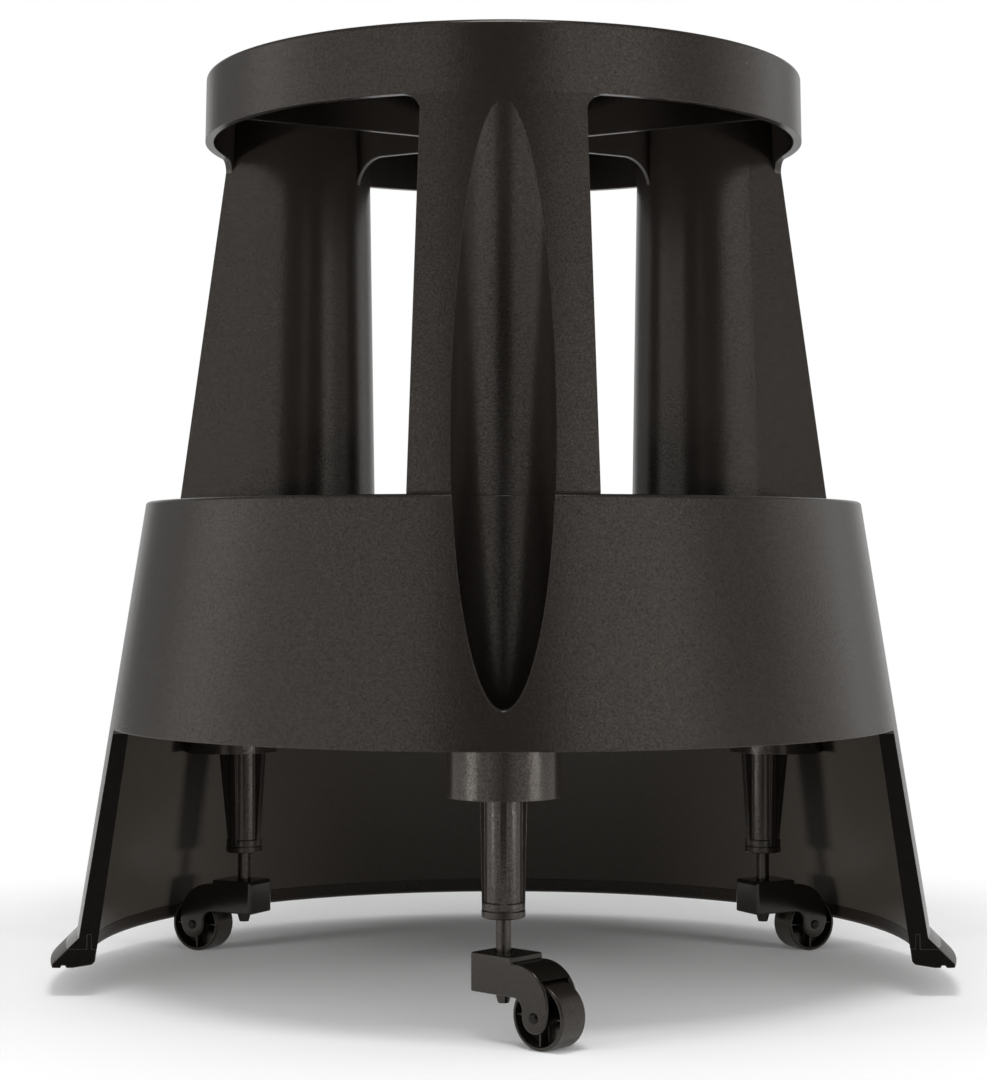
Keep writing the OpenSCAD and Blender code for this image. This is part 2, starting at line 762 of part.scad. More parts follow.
module lower_shell() {
    color(shell_colour) difference() {
        union() {
            difference() {
                skirt();
                cutaway();
                tongue(tongue_fit);
            }
            translate([0, 0, deck_z - deck_t])
                cylinder(r = skirt_inner_r(deck_z) + overlap, h = deck_t);
            for (angle = pad_angles)
                translate([0, 0, deck_z - deck_t - pad_t]) linear_extrude(height = pad_t + overlap)
                    pad_outline(angle, pad_t);
            deck_ribs();
            leg_collars();
            for (i = [0:2]) at_leg(i) castor_housing();
        }
        for (i = [0:2]) at_leg(i) castor_rooms();
        for (angle = pad_angles)
            translate([0, 0, deck_z - pad_t]) linear_extrude(height = pad_t + overlap)
                pad_outline(angle, tread_gap);
        at_screws() translate([0, 0, deck_z - deck_t - overlap])
            cylinder(d = screw_d + 2 * deck_hole_fit, h = deck_t + 2 * overlap);
    }
}

// The nine screws that hold the upper shell's legs from below
module shell_screws() {
    color(steel_colour) at_screws() translate([0, 0, deck_z - deck_t]) {
        cylinder(d = screw_d, h = screw_length - screw_tip_h);
        translate([0, 0, screw_length - screw_tip_h])
            cylinder(d1 = screw_d, d2 = screw_d / 2, h = screw_tip_h, $fn = 48);
        translate([0, 0, -screw_head_h]) cylinder(d = screw_head_d, h = screw_head_h);
    }
}

// A castor's own frame: stem on the Z axis, arm along +X
module at_castor(i) {
    at_leg(i) translate([castor_axis_r, 0, 0]) rotate([0, 0, castor_turns[i]]) children();
}

module bush(i) {
    bore = stem_r + stem_play;
    plug = chamber_r - bush_fit;
    color(castor_colour) at_castor(i) rotate_extrude() polygon([
        [bore, bush_z], [bush_flange_r - bush_chamfer, bush_z],
        [bush_flange_r, bush_z + bush_chamfer],
        [bush_flange_r, bush_z + bush_flange_t], [bush_groove_r, bush_z + bush_flange_t],
        [bush_groove_r, sleeve_z], [plug, sleeve_z], [plug, bush_top_z - bush_chamfer],
        [plug - bush_chamfer, bush_top_z], [bore, bush_top_z]
    ]);
}

module stem(i) {
    groove_r = stem_r - ring_groove;
    color(steel_colour) at_castor(i) rotate_extrude() polygon([
        [0, fork_bottom_z - peen_h], [peen_tip_d / 2, fork_bottom_z - peen_h],
        [peen_d / 2, fork_bottom_z - peen_edge_h], [peen_d / 2, fork_bottom_z],
        [stem_r, fork_bottom_z], [stem_r, ring_z], [groove_r, ring_z],
        [groove_r, ring_z + ring_t], [stem_r, ring_z + ring_t],
        [stem_r, stem_top_z - stem_chamfer], [stem_r - stem_chamfer, stem_top_z],
        [0, stem_top_z]
    ]);
}

// Open retaining ring that snaps into the stem's groove
module ring(i) {
    inner = stem_r - ring_groove + tight_fit;
    color(steel_colour) at_castor(i) translate([0, 0, ring_z + tight_fit]) difference() {
        cylinder(r = ring_r, h = ring_t - 2 * tight_fit);
        translate([0, 0, -overlap]) cylinder(r = inner, h = ring_t + 2 * overlap);
        translate([0, -ring_mouth_w / 2, -overlap])
            cube([2 * ring_r, ring_mouth_w, ring_t + 2 * overlap]);
    }
}

module washer(i) {
    color(steel_colour) at_castor(i) translate([0, 0, washer_z]) difference() {
        cylinder(r = washer_r, h = washer_t);
        translate([0, 0, -overlap]) cylinder(r = stem_r + washer_play, h = washer_t + 2 * overlap);
    }
}

// The spring's wire follows a helix, whose first and last turn lie nearly flat
wire_sides = 6;
rings_per_turn = 8;
end_pitch = wire_d + end_gap;
ring_total = spring_turns * rings_per_turn;
main_pitch = (spring_h - wire_d - 2 * end_pitch) / (spring_turns - 2);
function spring_level(turn) =
    spring_z + wire_d / 2 + (
        turn < 1 ? turn * end_pitch
        : turn > spring_turns - 1
            ? end_pitch + (spring_turns - 2) * main_pitch + (turn - spring_turns + 1) * end_pitch
            : end_pitch + (turn - 1) * main_pitch);
spring_points = [
    for (n = [0:ring_total]) let (turn = n / rings_per_turn, a = 360 * turn)
        for (k = [0:wire_sides - 1]) let (
            b = 360 * k / wire_sides,
            r = spring_r + wire_d / 2 * cos(b),
            z = spring_level(turn) + wire_d / 2 * sin(b))
            [r * cos(a), r * sin(a), z]
];
spring_faces = concat(
    [[for (k = [0:wire_sides - 1]) k]],
    [for (n = [0:ring_total - 1], k = [0:wire_sides - 1], half = [0, 1]) let (
        a = n * wire_sides + k,
        b = n * wire_sides + (k + 1) % wire_sides,
        c = b + wire_sides,
        d = a + wire_sides)
        half == 0 ? [a, c, b] : [a, d, c]],
    [[for (k = [wire_sides - 1:-1:0]) ring_total * wire_sides + k]]
);
least_gap = min([for (turn = [0:1 / rings_per_turn:spring_turns - 1])
    spring_level(turn + 1) - spring_level(turn) - wire_d]);
echo(least_gap_between_turns = least_gap);

module spring(i) {
    color(steel_colour) at_castor(i) polyhedron(spring_points, spring_faces);
}

// Side outline of the fork, with the stem at x = 0 and heights above the axle
module cheek_outline() {
    hood_centre = [trail - hood_back, hood_up];
    hood_r = cheek_r + norm([hood_back, hood_up]);
    back = trail - cheek_r;
    tangent = [hood_back, -hood_up] * 3;
    difference() {
        translate([-block_back, block_bottom])
            square([block_back + block_front, block_top - block_bottom]);
        translate([-block_back, block_top - block_round]) square(block_round);
    }
    translate([block_round - block_back, block_top - block_round]) circle(r = block_round);
    intersection() {
        translate(hood_centre) circle(r = hood_r);
        union() {
            translate([block_front - overlap, block_bottom]) square([far, far]);
            polygon([
                [back, 0], [trail, 0], [trail + tangent.x, tangent.y],
                [trail + tangent.x, far], [back, far]
            ]);
        }
    }
    translate([trail, 0]) circle(r = cheek_r);
    difference() {
        translate([back - cheek_fillet, block_bottom - cheek_fillet])
            square([cheek_fillet + overlap, cheek_fillet + overlap]);
        translate([back - cheek_fillet, block_bottom - cheek_fillet])
            circle(r = cheek_fillet);
    }
}

// Plan outline of the fork, whose two back corners are round
module fork_plan() {
    x0 = -block_back;
    y0 = fork_w / 2 - block_round;
    translate([x0 + block_round, -fork_w / 2]) square([far, fork_w]);
    translate([x0, -y0]) square([block_round + overlap, 2 * y0]);
    for (side = [-1, 1]) translate([x0 + block_round, side * y0]) circle(r = block_round);
}

module fork(i) {
    well_w = fork_w - 2 * cheek_t;
    color(castor_colour) at_castor(i) difference() {
        intersection() {
            translate([0, 0, axle_z]) rotate([90, 0, 0]) translate([0, 0, -fork_w / 2])
                linear_extrude(height = fork_w) cheek_outline();
            linear_extrude(height = far) fork_plan();
        }
        translate([trail, well_w / 2, axle_z]) rotate([90, 0, 0])
            cylinder(r = wheel_d / 2 + wheel_gap, h = well_w);
        translate([0, 0, fork_bottom_z - overlap])
            cylinder(r = stem_r + tight_fit, h = block_top - block_bottom + 2 * overlap);
        translate([trail, fork_w / 2 + overlap, axle_z]) rotate([90, 0, 0])
            cylinder(r = axle_d / 2 + tight_fit, h = fork_w + 2 * overlap);
    }
}

module at_axle(i) {
    at_castor(i) translate([trail, 0, axle_z]) rotate([90, 0, 0]) children();
}

// Wheel with a thin rim, a middle web, a hub as wide as the fork allows, and spokes
module wheel(i) {
    r = wheel_d / 2;
    w = wheel_w / 2;
    inner = r - wheel_rim_t;
    hub_w = fork_w / 2 - cheek_t - hub_gap;
    bore = axle_d / 2 + axle_play;
    edge = wheel_chamfer;
    color(castor_colour) at_axle(i) {
        rotate_extrude() polygon([
            [bore, -hub_w], [hub_r, -hub_w], [hub_r, -wheel_web_t / 2],
            [inner, -wheel_web_t / 2], [inner, -w + edge / 2], [inner + edge / 2, -w],
            [r - edge, -w], [r, -w + edge], [r, w - edge], [r - edge, w],
            [inner + edge / 2, w], [inner, w - edge / 2], [inner, wheel_web_t / 2],
            [hub_r, wheel_web_t / 2], [hub_r, hub_w], [bore, hub_w]
        ]);
        for (k = [0:spoke_count - 1]) rotate([0, 0, 360 * k / spoke_count])
            translate([hub_r - overlap / 2, -spoke_t / 2, -w + spoke_recess])
                cube([inner - hub_r + overlap, spoke_t, 2 * (w - spoke_recess)]);
    }
}

// Riveted axle with a flat-topped head on each cheek
module axle(i) {
    half = fork_w / 2;
    tip = half + axle_head_h;
    head_r = axle_head_d / 2;
    color(steel_colour) at_axle(i) rotate_extrude() polygon([
        [0, -tip], [head_r - axle_head_bevel, -tip], [head_r, -tip + axle_head_bevel],
        [head_r, -half], [axle_d / 2, -half], [axle_d / 2, half], [head_r, half],
        [head_r, tip - axle_head_bevel], [head_r - axle_head_bevel, tip], [0, tip]
    ]);
}

upper_shell();
top_tread();
lower_shell();
front_right_pad();
front_left_pad();
rear_pad();
foot_ring();
shell_screws();
bush(0);  // front_bush
spring(0);  // front_spring
washer(0);  // front_washer
ring(0);  // front_ring
stem(0);  // front_stem
fork(0);  // front_fork
wheel(0);  // front_wheel
axle(0);  // front_axle
bush(1);  // right_bush
spring(1);  // right_spring
washer(1);  // right_washer
ring(1);  // right_ring
stem(1);  // right_stem
fork(1);  // right_fork
wheel(1);  // right_wheel
axle(1);  // right_axle
bush(2);  // left_bush
spring(2);  // left_spring
washer(2);  // left_washer
ring(2);  // left_ring
stem(2);  // left_stem
fork(2);  // left_fork
wheel(2);  // left_wheel
axle(2);  // left_axle
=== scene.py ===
"""Rolling step stool: two black shells, rubber mat, pads and foot, and three sprung castors.

The front of the skirt is cut away, so that the castors can be seen. The studio comes
first, and then the stool in the order in which it is put together. Lengths are in metres
unless a name says mm.
"""
import json
import math

import bmesh
import bpy
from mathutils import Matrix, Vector


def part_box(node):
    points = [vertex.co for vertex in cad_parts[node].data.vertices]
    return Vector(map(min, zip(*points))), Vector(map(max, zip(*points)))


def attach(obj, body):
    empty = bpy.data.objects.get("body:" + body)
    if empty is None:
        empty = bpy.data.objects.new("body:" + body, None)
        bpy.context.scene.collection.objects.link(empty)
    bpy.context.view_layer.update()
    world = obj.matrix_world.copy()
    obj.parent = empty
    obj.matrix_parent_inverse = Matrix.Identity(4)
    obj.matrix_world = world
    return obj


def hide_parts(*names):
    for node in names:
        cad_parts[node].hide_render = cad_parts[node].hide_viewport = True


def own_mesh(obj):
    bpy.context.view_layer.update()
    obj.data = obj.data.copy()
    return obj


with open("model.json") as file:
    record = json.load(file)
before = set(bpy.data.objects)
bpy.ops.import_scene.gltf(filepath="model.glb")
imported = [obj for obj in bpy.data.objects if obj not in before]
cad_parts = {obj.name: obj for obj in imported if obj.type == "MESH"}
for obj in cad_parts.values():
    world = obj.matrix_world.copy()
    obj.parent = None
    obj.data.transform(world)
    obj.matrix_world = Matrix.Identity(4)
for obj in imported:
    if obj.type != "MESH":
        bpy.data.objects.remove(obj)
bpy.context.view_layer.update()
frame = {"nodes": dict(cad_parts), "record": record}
nodes = frame["nodes"]
scene = bpy.context.scene
scene.view_settings.view_transform = "Standard"

# Camera.
# A long lens looks level along +Y from a little below the middle of the stool, so the
# top and the deck are seen edge on. The shift sets the horizon where the picture has it.
PICTURE_W, PICTURE_H = 987, 1080
FOCAL_PX = 2424.25
AXIS_X, HORIZON_Y = 503.5, 562.6
EYE_DISTANCE, EYE_HEIGHT = 1.1878, 0.2035
SENSOR_MM = 36

camera_data = bpy.data.cameras.new("camera")
camera_data.sensor_width = SENSOR_MM
camera_data.lens = FOCAL_PX / PICTURE_H * SENSOR_MM
camera_data.shift_x = (PICTURE_W / 2 - AXIS_X) / PICTURE_H
camera_data.shift_y = (HORIZON_Y - PICTURE_H / 2) / PICTURE_H
camera = bpy.data.objects.new("camera", camera_data)
camera.location = (0, -EYE_DISTANCE, EYE_HEIGHT)
camera.rotation_euler = (math.pi / 2, 0, 0)
scene.collection.objects.link(camera)
scene.camera = camera

# Studio light.
# White walls stand all round the stool, brighter low down and behind the camera. A softbox
# hangs above it, well to the front, and two low ones at the sides light the skirt.

# The walls as gloss sees them: how bright they are by bearing, with a dark gap where the
# camera stands, and by the sine of the angle above the floor. Bearings are in degrees: 0 is
# the camera's side and 90 is +X.
CARDS = [(-180, 0.8), (-160, 0.8), (-142, 0.25), (-122, 0.4), (-97, 1.15), (-70, 0.76),
         (-26, 0.82), (-11, 0.0), (9, 0.0), (24, 0.98), (48, 1.1), (72, 0.42), (84, 0.4),
         (98, 0.75), (122, 1.0), (142, 0.5), (160, 0.8), (180, 0.8)]
SHELF = [(0.0, 0.85), (0.19, 0.85), (0.25, 1.05), (0.34, 0.97), (0.46, 0.6), (0.6, 0.35),
         (1.0, 0.3)]

# The walls as matt faces see them, with the fill from behind the camera. The camera itself
# sees plain white.
WALL_FOOT, WALL_TOP, WALL_END = 1.52, 0.4, 0.7
FRONT_FILL, FILL_START, FILL_END = 0.5, 0.4, 0.9

SOFTBOX_SIZE, SOFTBOX_HEIGHT, SOFTBOX_FORWARD, SOFTBOX_WATTS = 0.6, 1.7, 0.75, 10.5
KICKER_WIDTH, KICKER_HEIGHT, KICKER_WATTS = 0.4, 0.12, 19
KICKER_BEARING, KICKER_DISTANCE, KICKER_UP = 60, 1.3, 0.07
KICKER_AIM = Vector((0, 0, 0.07))


def add(tree, kind, settings=None, links=None):
    """Adds a node, sets its properties and inputs, and links other nodes' outputs to it."""
    node = tree.nodes.new(kind)
    for name, value in (settings or {}).items():
        if isinstance(name, int) or name in node.inputs:
            node.inputs[name].default_value = value
        else:
            setattr(node, name, value)
    for name, output in (links or {}).items():
        tree.links.new(output, node.inputs[name])
    return node


world = bpy.data.worlds.new("studio")
scene.world = world
world.use_nodes = True
sky = world.node_tree
sky.nodes.clear()
direction = add(sky, "ShaderNodeTexCoord").outputs["Generated"]
parts = add(sky, "ShaderNodeSeparateXYZ", links={"Vector": direction})
front = add(sky, "ShaderNodeMath", {"operation": "MULTIPLY", 1: -1}, {0: parts.outputs["Y"]})
bearing = add(sky, "ShaderNodeMath", {"operation": "ARCTAN2"},
              {0: parts.outputs["X"], 1: front.outputs[0]})
share = add(sky, "ShaderNodeMapRange", {"From Min": -math.pi, "From Max": math.pi},
            {"Value": bearing.outputs[0]})
cards = add(sky, "ShaderNodeValToRGB", links={"Fac": share.outputs[0]})
cards.color_ramp.interpolation = "EASE"
for bearing_deg, level in CARDS[1:-1]:
    cards.color_ramp.elements.new((bearing_deg + 180) / 360)
for stop, (bearing_deg, level) in zip(cards.color_ramp.elements, CARDS):
    stop.color = (level, level, level, 1)
shelf = add(sky, "ShaderNodeValToRGB", links={"Fac": parts.outputs["Z"]})
for height, level in SHELF[1:-1]:
    shelf.color_ramp.elements.new(height)
for stop, (height, level) in zip(shelf.color_ramp.elements, SHELF):
    stop.color = (level, level, level, 1)
wall = add(sky, "ShaderNodeMapRange",
           {"From Min": 0.0, "From Max": WALL_END, "To Min": WALL_FOOT, "To Max": WALL_TOP},
           {"Value": parts.outputs["Z"]})
fill = add(sky, "ShaderNodeMapRange",
           {"From Min": FILL_START, "From Max": FILL_END, "To Min": 0.0,
            "To Max": FRONT_FILL},
           {"Value": front.outputs[0]})
walls = add(sky, "ShaderNodeMath", {"operation": "ADD"},
            {0: wall.outputs[0], 1: fill.outputs[0]})
path = add(sky, "ShaderNodeLightPath")
gloss_sky = add(sky, "ShaderNodeBackground", links={"Color": cards.outputs["Color"],
                                                    "Strength": shelf.outputs["Color"]})
plain_sky = add(sky, "ShaderNodeBackground", {"Color": (1, 1, 1, 1)},
                {"Strength": walls.outputs[0]})
white_sky = add(sky, "ShaderNodeBackground", {"Color": (1, 1, 1, 1)})
lit = add(sky, "ShaderNodeMixShader",
          links={0: path.outputs["Is Glossy Ray"], 1: plain_sky.outputs[0],
                 2: gloss_sky.outputs[0]})
seen = add(sky, "ShaderNodeMixShader",
           links={0: path.outputs["Is Camera Ray"], 1: lit.outputs[0], 2: white_sky.outputs[0]})
add(sky, "ShaderNodeOutputWorld", links={"Surface": seen.outputs[0]})


def lamp(name, width, height, watts, place, aim):
    """Hangs a round or oval softbox at a place and turns it towards its aim."""
    data = bpy.data.lights.new(name, "AREA")
    data.shape = "ELLIPSE"
    data.size, data.size_y = width, height
    data.energy = watts
    light = bpy.data.objects.new(name, data)
    light.location = place
    light.rotation_euler = (aim - place).to_track_quat("-Z", "Y").to_euler()
    light.visible_camera = False
    scene.collection.objects.link(light)
    return light


above = Vector((0, -SOFTBOX_FORWARD, SOFTBOX_HEIGHT))
lamp("softbox", SOFTBOX_SIZE, SOFTBOX_SIZE, SOFTBOX_WATTS, above, above - Vector((0, 0, 1)))
turn = math.radians(KICKER_BEARING)
for side in (-1, 1):
    beside = Vector((side * math.sin(turn) * KICKER_DISTANCE, -math.cos(turn) * KICKER_DISTANCE,
                     KICKER_UP))
    kicker = lamp("kicker", KICKER_WIDTH, KICKER_HEIGHT, KICKER_WATTS, beside, KICKER_AIM)
    kicker.visible_glossy = False

# Floor.
# White paper, laid flat and matt. Round the stool it shows the camera its shadow, and
# further off it runs out into the plain white of the walls.
FLOOR_HALF = 12
SHADOW_R, WHITE_R = 0.3, 0.5

# Its fibres are drawn several times as coarse as in real paper, to show.
FIBRES_PER_M, FIBRE_DETAIL = 400.0, 3.0
TOOTH_STRENGTH, TOOTH_DEPTH = 0.3, 0.0002

# Out of the picture, towards the camera, the paper is painted dark for gloss rays alone: a
# painted dark reflection that the stool's glossy faces show. Between its half width and its
# edge it fades out to both sides.
DARK_REFLECTION_HALF, DARK_REFLECTION_EDGE, DARK_REFLECTION_Y = 0.12, 0.3, -0.35
DARK_REFLECTION_COLOUR = "#1c1c1c"

# What the paper throws back on the stool, a little less than the camera sees of it.
PAPER_COLOUR = "#f6f6f6"


def linear(hex_colour):
    """An sRGB hex colour as the linear values that Blender's sockets take."""
    parts = [int(hex_colour[i:i + 2], 16) / 255 for i in (1, 3, 5)]
    return [p / 12.92 if p <= 0.04045 else ((p + 0.055) / 1.055) ** 2.4 for p in parts] + [1]


floor_mesh = bpy.data.meshes.new("floor")
bm = bmesh.new()
bmesh.ops.create_grid(bm, x_segments=1, y_segments=1, size=FLOOR_HALF)
bm.to_mesh(floor_mesh)
bm.free()
floor = bpy.data.objects.new("floor", floor_mesh)
scene.collection.objects.link(floor)
paper = bpy.data.materials.new("white paper, matt, with a painted dark reflection")
paper.use_nodes = True
tree = paper.node_tree
tree.nodes.clear()
path = add(tree, "ShaderNodeLightPath")
place = add(tree, "ShaderNodeTexCoord").outputs["Object"]
distance = add(tree, "ShaderNodeVectorMath", {"operation": "LENGTH"}, {0: place})
far_off = add(tree, "ShaderNodeMapRange",
              {"interpolation_type": "SMOOTHSTEP", "From Min": SHADOW_R, "From Max": WHITE_R},
              {"Value": distance.outputs["Value"]})
fibre = add(tree, "ShaderNodeTexNoise", {"Scale": FIBRES_PER_M, "Detail": FIBRE_DETAIL},
            {"Vector": place})
tooth = add(tree, "ShaderNodeBump", {"Strength": TOOTH_STRENGTH, "Distance": TOOTH_DEPTH},
            {"Height": fibre.outputs["Fac"]})
near_paper = add(tree, "ShaderNodeBsdfDiffuse", {"Color": (1, 1, 1, 1)},
                 {"Normal": tooth.outputs["Normal"]})
far_paper = add(tree, "ShaderNodeEmission")
seen_paper = add(tree, "ShaderNodeMixShader",
                 links={0: far_off.outputs[0], 1: near_paper.outputs[0],
                        2: far_paper.outputs[0]})
on_floor = add(tree, "ShaderNodeSeparateXYZ", links={"Vector": place})
sideways = add(tree, "ShaderNodeMath", {"operation": "ABSOLUTE"},
               {0: on_floor.outputs["X"]})
# Where the dark patch lies, only gloss rays see it: a painted dark reflection on the stool's
# glossy faces.
off_dark_reflection = add(tree, "ShaderNodeMapRange",
                {"interpolation_type": "SMOOTHSTEP", "From Min": DARK_REFLECTION_HALF,
                 "From Max": DARK_REFLECTION_EDGE}, {"Value": sideways.outputs[0]})
past_dark_reflection = add(tree, "ShaderNodeMath", {"operation": "GREATER_THAN", 1: DARK_REFLECTION_Y},
                 {0: on_floor.outputs["Y"]})
not_gloss = add(tree, "ShaderNodeMath", {"operation": "SUBTRACT", 0: 1.0},
                {1: path.outputs["Is Glossy Ray"]})
outside_dark_reflection = add(tree, "ShaderNodeMath", {"operation": "MAXIMUM"},
                 {0: off_dark_reflection.outputs[0], 1: past_dark_reflection.outputs[0]})
paper_shows = add(tree, "ShaderNodeMath", {"operation": "MAXIMUM"},
                  {0: outside_dark_reflection.outputs[0], 1: not_gloss.outputs[0]})
paper_or_dark_reflection = add(tree, "ShaderNodeMixRGB",
              {"Color1": linear(DARK_REFLECTION_COLOUR), "Color2": linear(PAPER_COLOUR)},
              {"Fac": paper_shows.outputs[0]})
lighting_paper = add(tree, "ShaderNodeBsdfDiffuse",
                     links={"Color": paper_or_dark_reflection.outputs["Color"],
                            "Normal": tooth.outputs["Normal"]})
upper_side = add(tree, "ShaderNodeMixShader",
                 links={0: path.outputs["Is Camera Ray"], 1: lighting_paper.outputs[0],
                        2: seen_paper.outputs[0]})

# Seen from below the floor isn't there, so that views from there show the stool.
side = add(tree, "ShaderNodeNewGeometry")
no_paper = add(tree, "ShaderNodeBsdfTransparent")
one_sided = add(tree, "ShaderNodeMixShader",
                links={0: side.outputs["Backfacing"], 1: upper_side.outputs[0],
                       2: no_paper.outputs[0]})
add(tree, "ShaderNodeOutputMaterial", links={"Surface": one_sided.outputs[0]})
floor_mesh.materials.append(paper)

# Lower shell.
# Injection-moulded polypropylene: deck, conical skirt and three castor housings in one
# piece. The front of its skirt is sawn out, and the sawn faces are left flat black.
DECK_Z, DECK_R, DECK_ROUND = 0.2325, 0.1735, 0.002
FLARE_Z, FLARE_R, SKIRT_FACETS = 0.028, 0.206, 124

# Corners closer than the weld are one. Those less than a hair from a cone, and between its
# ends, lie on it: the flutes' walls stand that little proud of the skirt's outside.
WELD, HAIR, END_MISS = 2e-6, 0.00025, 1e-5

# The skirt's inside is painted paler than the outside: painted light, standing in for light
# that reaches it through the cut-away front. It is told by the thickness of its wall at the top
# and foot, and by how squarely it faces the axis.
INNER_TOP, INNER_FOOT, INNER_MISS, INNER_FACING = 0.005, 0.009, 0.0015, 0.97

# The faces that the saw left are told by their planes and by how squarely they face the saw.
SAW_PLANE_Y, SAW_TOP_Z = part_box("foot_ring")[0][1], 0.1253
SAW_MISS, SAW_FACING = 1e-4, 0.99

# A noise texture fills this span and little else.
NOISE_LOW, NOISE_HIGH = 0.3, 0.7

NOISE_DETAIL, EDGE_SAMPLES = 2.0, 4

# Broad, faint patches of duller and glossier plastic, and gloss that is a little warm.
CLOUDS_PER_M, CLOUD_GLOSS = 9.0, 0.03
GLOSS_TINT = "#fff6ec"


def grained(name, colour, roughness, grain_mm, depth_mm, edge_mm, contrast=0.25, shine=0.5):
    """A moulded skin: grain whose pits are darker and shine less, and soft edges.

    The grain is drawn several times as coarse as the real one, so that pictures show it.
    """
    material = bpy.data.materials.new(name)
    material.use_nodes = True
    tree = material.node_tree
    skin = tree.nodes["Principled BSDF"]
    place = add(tree, "ShaderNodeTexCoord").outputs["Object"]
    grain = add(tree, "ShaderNodeTexNoise",
                {"Scale": 1000 / grain_mm, "Detail": NOISE_DETAIL},
                {"Vector": place}).outputs["Fac"]
    soft = add(tree, "ShaderNodeBevel", {"samples": EDGE_SAMPLES, "Radius": edge_mm / 1000})
    bump = add(tree, "ShaderNodeBump", {"Distance": depth_mm / 1000},
               {"Height": grain, "Normal": soft.outputs["Normal"]})
    pits = add(tree, "ShaderNodeMapRange",
               {"From Min": NOISE_LOW, "From Max": NOISE_HIGH,
                "To Min": shine * (1 - contrast), "To Max": shine * (1 + contrast)},
               {"Value": grain})
    clouds = add(tree, "ShaderNodeTexNoise", {"Scale": CLOUDS_PER_M, "Detail": NOISE_DETAIL},
                 {"Vector": place})
    gloss = add(tree, "ShaderNodeMapRange",
                {"From Min": NOISE_LOW, "From Max": NOISE_HIGH,
                 "To Min": roughness - CLOUD_GLOSS, "To Max": roughness + CLOUD_GLOSS},
                {"Value": clouds.outputs["Fac"]})
    paint = linear(colour)
    tone = add(tree, "ShaderNodeMixRGB",
               {"Color1": [c * (1 - contrast) for c in paint[:3]] + [1],
                "Color2": [c * (1 + contrast) for c in paint[:3]] + [1]}, {"Fac": grain})
    skin.inputs["Specular Tint"].default_value = linear(GLOSS_TINT)
    tree.links.new(tone.outputs["Color"], skin.inputs["Base Color"])
    tree.links.new(gloss.outputs[0], skin.inputs["Roughness"])
    tree.links.new(pits.outputs[0], skin.inputs["Specular IOR Level"])
    tree.links.new(bump.outputs["Normal"], skin.inputs["Normal"])
    return material


def drawn(node, material, cones):
    """Stands in for a shell of the base, with its round outsides shaded as true cones.

    Each cone has its lower z and r, its upper z and r, and the number of its facets where
    the mesh strays from it and is drawn in, or else 0.
    """
    mesh = nodes[node].data.copy()
    mesh.name = node + "_drawn"
    bm = bmesh.new()
    bm.from_mesh(mesh)
    packed = bm.loops.layers.float_vector.new("packed_normal")
    given = iter([corner.vector.copy() for corner in mesh.corner_normals])
    for face in bm.faces:
        for loop in face.loops:
            loop[packed] = next(given)
    bmesh.ops.remove_doubles(bm, verts=bm.verts, dist=WELD)
    for z0, r0, z1, r1, facets in cones:
        slope = (r0 - r1) / (z1 - z0)
        lean = math.atan(slope)
        outside = set()
        for vert in bm.verts:
            x, y, z = vert.co
            r = math.hypot(x, y)
            cone_r = r0 - (z - z0) * slope
            if z0 - END_MISS < z < z1 + END_MISS and abs(r - cone_r) < HAIR:
                outside.add(vert)
                if facets:
                    step = math.tau / facets
                    turn = math.atan2(y, x) % step - step / 2
                    flat_r = cone_r * math.cos(step / 2) / math.cos(turn)
                    vert.co.x, vert.co.y = x * flat_r / r, y * flat_r / r
        for face in bm.faces:
            if all(vert in outside for vert in face.verts):
                for loop in face.loops:
                    x, y, z = loop.vert.co
                    turn = math.atan2(y, x)
                    loop[packed] = (math.cos(turn) * math.cos(lean),
                                    math.sin(turn) * math.cos(lean), math.sin(lean))
    bm.to_mesh(mesh)
    bm.free()
    mesh.normals_split_custom_set([corner.vector for corner in
                                   mesh.attributes["packed_normal"].data])
    mesh.materials.clear()
    mesh.materials.append(material)
    piece = bpy.data.objects.new(node + "_drawn", mesh)
    scene.collection.objects.link(piece)
    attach(piece, "base")
    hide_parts(node)
    return piece


def blacken_cut(piece, material):
    """Gives the faces that the saw left, and nothing else, their own material."""
    mesh = piece.data
    mesh.materials.append(material)
    for face in mesh.polygons:
        upright = face.normal.y < -SAW_FACING and abs(face.center.y - SAW_PLANE_Y) < SAW_MISS
        level = face.normal.z < -SAW_FACING and abs(face.center.z - SAW_TOP_Z) < SAW_MISS
        if upright or level:
            face.material_index = len(mesh.materials) - 1


shell_plastic = grained("polypropylene, spark-eroded", "#151210", roughness=0.22,
                        grain_mm=0.9, depth_mm=0.06, edge_mm=0.7, contrast=0.42)
# Painted light: the skirt's inside gets a paler colour than the shell, for light through the
# cut-away front.
painted_light_inner_plastic = grained("polypropylene, inside painted paler as lit", "#2f2b27", roughness=0.35,
                        grain_mm=0.9, depth_mm=0.05, edge_mm=0.3, contrast=0.12)
sawn_plastic = grained("polypropylene, sawn and blacked", "#0a0908", roughness=0.95,
                       grain_mm=2.5, depth_mm=0.1, edge_mm=0.1, shine=0.04)
lower_shell = drawn("lower_shell", shell_plastic,
                    [(FLARE_Z, FLARE_R, DECK_Z - DECK_ROUND, DECK_R, SKIRT_FACETS)])
# The faces of the skirt's inside take the paler colour: painted light on them.
lower_shell.data.materials.append(painted_light_inner_plastic)
for face in lower_shell.data.polygons:
    x, y, z = face.center
    r = math.hypot(x, y)
    inwards = -(face.normal.x * x + face.normal.y * y) / r
    drop = (DECK_Z - z) / (DECK_Z - FLARE_Z)
    inner_r = DECK_R - INNER_TOP + drop * (FLARE_R - INNER_FOOT - DECK_R + INNER_TOP)
    if inwards > INNER_FACING and abs(r - inner_r) < INNER_MISS:
        face.material_index = 1
blacken_cut(lower_shell, sawn_plastic)

